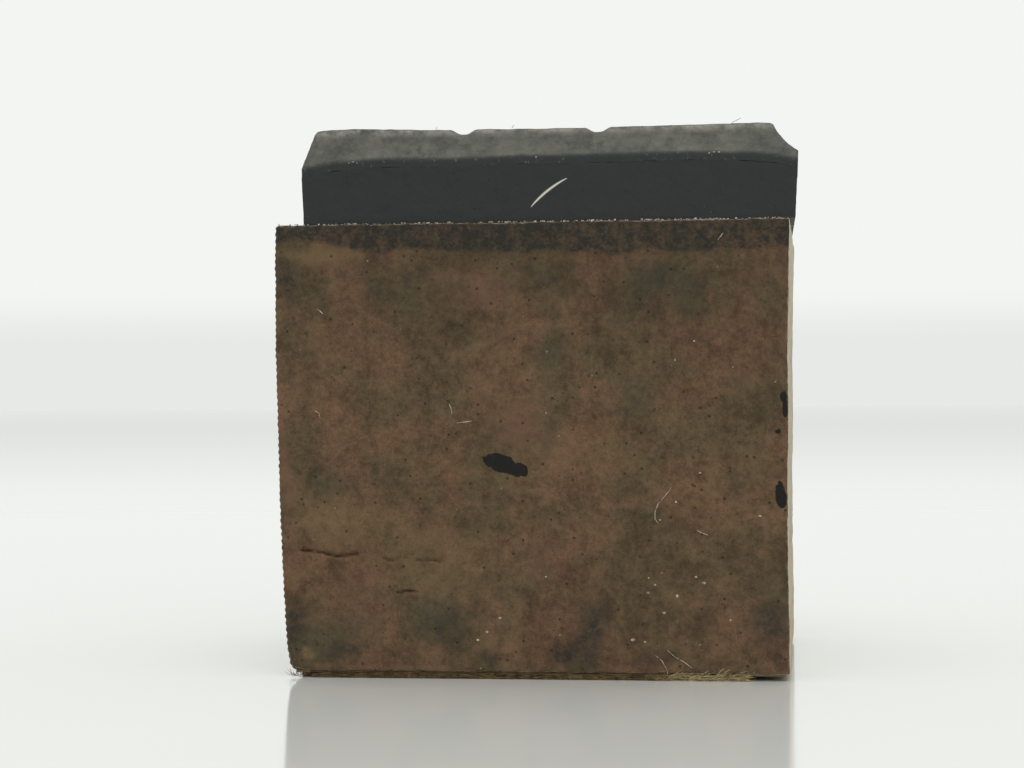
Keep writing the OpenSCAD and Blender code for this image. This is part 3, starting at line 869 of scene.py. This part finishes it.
def make_brad(node, finish, seed):
    """A headed brad: domed head with hammer flats, straight shank, drawn point."""
    lo, hi = box_mm(node)
    mid = (lo + hi) / 2
    r, head_r, t = BRAD_D / 2, BRAD_HEAD_D / 2, BRAD_HEAD_T
    side = [(0, -BRAD_LEN), (0.06, -BRAD_LEN), (0.3, -BRAD_LEN + 0.7), (r, -BRAD_LEN + BRAD_POINT),
            (r, -6), (r, -0.2), (r, 0), (head_r - 0.05, 0.0), (head_r, 0.05), (head_r, t * 0.45),
            (head_r - 0.05, t * 0.62), (head_r * 0.75, t * 0.83), (head_r * 0.42, t * 0.96), (0, t)]
    bm = bmesh.new()
    points = [bm.verts.new((a, 0, b)) for a, b in side]
    edges = [bm.edges.new(pair) for pair in zip(points, points[1:])]
    bmesh.ops.spin(bm, geom=points + edges, axis=(0, 0, 1), cent=(0, 0, 0), steps=28, angle=2 * math.pi,
                   use_merge=True)
    bmesh.ops.remove_doubles(bm, verts=bm.verts, dist=1e-4)
    bmesh.ops.recalc_face_normals(bm, faces=bm.faces)
    mesh = bpy.data.meshes.new(node + "_nail")
    bm.to_mesh(mesh)
    bm.free()
    p = points_of(mesh)
    head = ease(0.02, 0.2, p[:, 2])
    p[:, 2] -= head * 0.03 * (1 + lumps(p, 0.6, seed))
    p[:, :2] *= (1 + 0.02 * head * lumps(p, 0.9, seed + 3))[:, None]
    p += np.array((mid[0], mid[1], Z_GROUND))
    place_points(mesh, p)
    add_piece(node + "_nail", mesh, [finish], "brad", node, sharp=45)


def make_brads():
    finish = finish_with("old_iron", old_iron, 0.5)
    for i, node in enumerate(("brad_front_left", "brad_front_right", "brad_rear_left", "brad_rear_right")):
        make_brad(node, finish, 90 + 5 * i)


# Underlay
PAPER_CELLS = (110, 96, 1)
BOARD_CELLS = (150, 120, 3)
# The strawboard's right end, torn ragged: Y, then X as in the source
TORN_END = ((-9.45, -6.61, -4.25, -0.95, 1.89, 4.72, 7.09, 9.45),
            (8.9, 8.4, 9.1, 8.6, 9.25, 8.75, 9.0, 8.7))


def shape_paper(mesh):
    share = points_of(mesh)
    p = PAPER_LO + share * (PAPER_HI - PAPER_LO)
    wave = rough(p, 1.6, 101)
    edge = np.minimum.reduce([share[:, 0], 1 - share[:, 0], share[:, 1], 1 - share[:, 1]]) < 1e-4
    p[:, 0] += np.where(edge, 0.05 * rough(p, 0.5, 103), 0)
    p[:, 1] += np.where(edge, 0.05 * rough(p, 0.5, 105), 0)
    p[:, 2] = PAPER_LO[2] + (p[:, 2] - PAPER_LO[2]) * (0.9 + 0.08 * wave)
    place_points(mesh, p)


def shape_board(mesh):
    """A slab of strawboard with a fibrous, uneven edge and a torn right end."""
    share = points_of(mesh)
    y = BOARD_LO[1] + share[:, 1] * (BOARD_HI[1] - BOARD_LO[1])
    tear = 0.5
    left = BOARD_LO[0] + tear * ease(BOARD_LO[1] + tear, BOARD_LO[1], y)
    right = np.interp(y, *TORN_END)
    x = left + share[:, 0] * (right - left)
    p = np.stack([x, y, BOARD_LO[2] + share[:, 2] * (BOARD_HI[2] - BOARD_LO[2])], axis=1)
    edge = np.minimum.reduce([share[:, 0], 1 - share[:, 0], share[:, 1], 1 - share[:, 1]]) < 1e-4
    p[:, 0] += np.where(edge, 0.07 * rough(p * (1, 1, 3), 0.3, 111), 0)
    p[:, 1] += np.where(edge, 0.05 * rough(p * (1, 1, 3), 0.3, 115), 0)
    thin = ease(0.35, 0.0, np.minimum(p[:, 1] - BOARD_LO[1], BOARD_HI[1] - p[:, 1])) * 0.03
    top = share[:, 2] > 0.99
    p[:, 2] -= np.where(top, thin * (1 + rough(p, 0.5, 118)), 0)
    place_points(mesh, p)


def strawboard(n):
    """Brown board of straw fibres pressed together."""
    along = n.place(stretch=(0.35, 1, 3))
    where = n.place()
    fibre = n.effect(MOTTLE, {"Place": along, "Scale": 4.0, "Detail": 5.0, "Grain": 0.85, "Contrast": 3.0})
    colour = n.mix(fibre, paint(52, 42, 28), paint(116, 98, 66))
    dirt = n.spread(n.noise(where, 1.1, 4, 0.7), 0.45, 0.65)
    colour = n.mix(n.times(dirt, 0.6), colour, paint(44, 38, 28))
    return {"Base Color": colour, "Roughness": 0.92, "Normal": n.bump(fibre, 0.8, 0.06)}


def old_paper(n):
    """Paper browned by age and oil."""
    where = n.place()
    tone = n.effect(MOTTLE, {"Place": where, "Scale": 1.5, "Detail": 5.0, "Grain": 0.75, "Contrast": 2.2})
    colour = n.mix(tone, paint(96, 82, 60), paint(150, 136, 108))
    return {"Base Color": colour, "Roughness": 0.9, "Normal": n.bump(tone, 0.5, 0.03)}


def straw(n):
    """Loose straw fibres, each of its own tone."""
    where = n.place()
    tone = n.effect(MOTTLE, {"Place": where, "Scale": 2.4, "Detail": 4.0, "Grain": 0.9, "Contrast": 3.2})
    x = n.axes(where)[0]
    pale = n.spread(x, 4.6, 6.6)
    dark = n.mix(tone, paint(58, 46, 30), paint(124, 104, 70))
    light = n.mix(tone, paint(104, 90, 60), paint(186, 170, 128))
    colour = n.mix(pale, dark, light)
    return {"Base Color": colour, "Roughness": 0.85, "Normal": n.bump(tone, 0.4, 0.02)}


def strands(name, paths, finish, slot, sides=4):
    """Thin strands along given paths, each a list of points and a radius, in millimetres."""
    data = bpy.data.curves.new(name, "CURVE")
    data.dimensions = "3D"
    data.bevel_depth = 1 * MM
    data.bevel_resolution = 0 if sides == 4 else 1
    data.use_fill_caps = True
    for path, r in paths:
        spline = data.splines.new("POLY")
        spline.points.add(len(path) - 1)
        for i, (point, target) in enumerate(zip(path, spline.points)):
            t = i / (len(path) - 1)
            target.co = (point[0] * MM, point[1] * MM, point[2] * MM, 1)
            target.radius = r * (0.45 + 0.55 * math.sin(math.pi * (0.08 + 0.84 * t)))
    drawn = bpy.data.objects.new(name + "_path", data)
    bpy.context.scene.collection.objects.link(drawn)
    mesh = bpy.data.meshes.new_from_object(drawn.evaluated_get(bpy.context.evaluated_depsgraph_get()))
    mesh.name = name
    bpy.data.objects.remove(drawn)
    bpy.data.curves.remove(data)
    mesh.materials.clear()
    return add_piece(name, mesh, [finish], slot)


def make_straws(finish):
    """Fibres teased out of the board: short ones along its front, a pale frayed bundle at its right."""
    dice = random.Random(11)
    paths = []
    y_front = BOARD_LO[1]

    def strand(x, z, long, lean, r, out, sag):
        steps = 6
        bow = dice.uniform(-0.06, 0.06)
        path = []
        for i in range(steps):
            t = i / (steps - 1)
            hump = 4 * t * (1 - t)
            path.append((x + long * t * math.cos(lean), y_front - 0.02 - out * hump - 0.02 * dice.random(),
                         max(r * 1.1, z + long * t * math.sin(lean) - sag * t * t + bow * hump)))
        paths.append((path, r))

    for _ in range(330):
        x = dice.uniform(-9.7, 5.0)
        strand(x, dice.uniform(0.03, 0.2), dice.uniform(0.3, 1.2), dice.gauss(0, 0.12),
               dice.uniform(0.008, 0.017), dice.uniform(0.0, 0.05), 0.0)
    for _ in range(300):
        x = dice.uniform(4.4, 8.6)
        strand(x, dice.uniform(0.02, 0.24), dice.uniform(0.25, 0.9), dice.gauss(0, 0.3),
               dice.uniform(0.01, 0.02), dice.uniform(0.02, 0.12), dice.uniform(0, 0.05))
    for _ in range(26):
        x = dice.uniform(-10.45, -9.75)
        strand(x, dice.uniform(0.02, 0.16), dice.uniform(0.15, 0.45), dice.uniform(0.2, 2.9),
               dice.uniform(0.007, 0.011), 0.02, 0.02)
    strands("board_straws", paths, finish, "board")


def make_underlay():
    paper = cut_block("underlay_sheet", PAPER_CELLS)
    shape_paper(paper)
    add_piece("underlay_sheet", paper, [finish_with("old_paper", old_paper, 0.2)], "paper", "underlay_paper",
              sharp=60)
    board = cut_block("underlay_card", BOARD_CELLS)
    shape_board(board)
    add_piece("underlay_card", board, [finish_with("strawboard", strawboard, 0.2)], "board",
              "underlay_board", sharp=60)
    make_straws(finish_with("straw", straw, 0.2))


# Crumbs and lint
def pale_crumb(n):
    where = n.place()
    tone = n.effect(MOTTLE, {"Place": where, "Scale": 5.0, "Detail": 3.0, "Grain": 0.8, "Contrast": 3.0})
    return {"Base Color": n.mix(tone, paint(96, 88, 72), paint(206, 198, 180)), "Roughness": 0.9,
            "Normal": n.bump(tone, 0.4, 0.02)}


def make_crumbs(finish):
    """Dust and dried crumbs along the plate's foot, and specks stuck to the front."""
    dice = random.Random(23)
    spots = []
    for _ in range(260):
        x = dice.uniform(WOOD_LO[0] + 0.1, WOOD_HI[0] - 0.05)
        spots.append((x, dice.uniform(-9.5, -9.36), Z_SEAT + dice.uniform(-0.03, 0.02),
                      dice.uniform(0.015, 0.05)))
    for px, py, size in ((349, 163, 2), (353, 162, 2), (357, 163, 1.5), (709, 153, 2), (714, 152, 2.5),
                         (719, 152, 2), (536, 157, 1.5)):
        x, _, z = seen_at(px, py, PLATE_Y)
        spots.append((x, PLATE_Y - 0.01, z, size / FRONT_PX_PER_MM / 2))
    for px, py, size in ((694, 341, 3), (675, 360, 2), (733, 367, 2), (660, 520, 2.5), (676, 502, 2.5),
                         (649, 578, 3.5), (655, 585, 3), (648, 593, 4), (677, 596, 4), (696, 577, 2.5),
                         (704, 583, 4), (664, 613, 4), (700, 645, 3), (730, 620, 3), (633, 640, 4),
                         (645, 642, 3), (546, 577, 2.5), (700, 473, 2.5), (760, 516, 3), (487, 632, 3),
                         (500, 618, 3), (478, 640, 3), (546, 413, 2), (300, 350, 2)):
        x, y, z = seen_at(px, py, FRONT_Y)
        spots.append((x, y, z, size / FRONT_PX_PER_MM / 2))
    bm = bmesh.new()
    for x, y, z, size in spots:
        turn = Matrix.Rotation(dice.uniform(0, 6.3), 4, "X") @ Matrix.Rotation(dice.uniform(0, 6.3), 4, "Y")
        grow = Matrix.Diagonal((size * dice.uniform(0.7, 1.3), size * 0.6, size * dice.uniform(0.6, 1.1), 1))
        bmesh.ops.create_icosphere(bm, subdivisions=1, radius=1,
                                   matrix=Matrix.Translation((x, y, z)) @ grow @ turn)
    bmesh.ops.scale(bm, vec=(MM, MM, MM), verts=bm.verts)
    mesh = bpy.data.meshes.new("crumbs")
    bm.to_mesh(mesh)
    bm.free()
    add_piece("crumbs", mesh, [finish], "wood", sharp=30)


def make_lint(finish):
    """Single pale fibres caught on the block, placed as the photograph shows them."""
    lines = ((((672, 484), (670, 490), (664, 497), (658, 504), (655, 512), (655, 519), (658, 523)),
              FRONT_Y, 0.6),
             (((449, 404), (451, 408), (452, 414)), FRONT_Y, 0.7),
             (((457, 423), (465, 422), (472, 421)), FRONT_Y, 0.6),
             (((317, 309), (320, 311), (323, 314)), FRONT_Y, 0.7),
             (((718, 240), (720, 237), (723, 233)), FRONT_Y, 0.8),
             (((315, 411), (319, 413), (320, 418)), FRONT_Y, 0.7),
             (((697, 530), (702, 533), (708, 535)), FRONT_Y, 0.6),
             (((655, 655), (662, 661), (667, 670), (668, 676)), FRONT_Y - 0.03, 0.6),
             (((667, 650), (675, 657), (684, 662), (692, 668)), FRONT_Y - 0.03, 0.6),
             (((728, 127), (733, 122), (741, 118)), -FACE_Y, 0.45),
             (((512, 128), (514, 125)), -FACE_Y, 0.6), (((436, 130), (437, 127)), -FACE_Y, 0.6))
    paths = []
    for pixels, y, width in lines:
        path = [seen_at(px, py, y) for px, py in pixels]
        paths.append(([(a, b - 0.012, c) for a, b, c in path], width / FRONT_PX_PER_MM / 2 * 1.5))
    strands("lint", paths, finish, "wood")


# Floor, light and background
def glossy_floor(n):
    where = n.place()
    tone = n.noise(where, 0.02, 2, 0.5)
    return {"Base Color": n.mix(tone, paint(224, 226, 221), paint(228, 230, 225)), "Roughness": 0.1}


def make_stage():
    bm = bmesh.new()
    bmesh.ops.create_grid(bm, x_segments=8, y_segments=8, size=12)
    mesh = bpy.data.meshes.new("floor")
    bm.to_mesh(mesh)
    bm.free()
    mesh.materials.append(finish_with("glossy_floor", glossy_floor, 0.5))
    floor = bpy.data.objects.new("floor", mesh)
    bpy.context.scene.collection.objects.link(floor)


def make_light():
    world = bpy.data.worlds.new("studio")
    bpy.context.scene.world = world
    world.use_nodes = True
    tree = world.node_tree
    tree.nodes.clear()
    n = Nodes(tree)
    up = n.axes(n.add("ShaderNodeTexCoord", out="Generated"))[2]
    shown = n.mix(n.spread(up, 0.025, 0.05), paint(231, 233, 230), paint(243, 245, 242))
    lit = n.mix(n.spread(up, -0.2, 0.9), (0.62, 0.62, 0.62, 1), (0.8, 0.8, 0.8, 1))
    path = tree.nodes.new("ShaderNodeLightPath")
    direct = n.maths("MAXIMUM", path.outputs["Is Camera Ray"],
                     n.maths("MAXIMUM", path.outputs["Is Glossy Ray"], path.outputs["Is Transmission Ray"]))
    colour = n.mix(direct, lit, shown)
    sky = n.add("ShaderNodeBackground", {}, {"Color": colour, "Strength": 1.0})
    out = tree.nodes.new("ShaderNodeOutputWorld")
    tree.links.new(sky, out.inputs["Surface"])

    def soft_box(name, place, aim, size, watts):
        data = bpy.data.lights.new(name, "AREA")
        data.shape, data.size, data.energy = "SQUARE", size, watts
        lamp = bpy.data.objects.new(name, data)
        lamp.location = place
        lamp.rotation_mode = "QUATERNION"
        lamp.rotation_quaternion = (Vector(aim) - Vector(place)).to_track_quat("-Z", "Y")
        bpy.context.scene.collection.objects.link(lamp)

    soft_box("soft_box_top", (-0.05, -0.15, 0.6), (0, 0, 0.01), 0.5, 1.1)
    soft_box("soft_box_front", (0.25, -0.6, 0.35), (0, 0, 0.01), 0.5, 1.0)
    bpy.context.scene.view_settings.view_transform = "Standard"


make_wood()
make_plate()
make_brads()
make_underlay()
make_crumbs(finish_with("pale_crumb", pale_crumb, 0.2))
make_lint(finish_with("lint_fibre", pale_crumb, 0.2))
make_stage()
make_light()
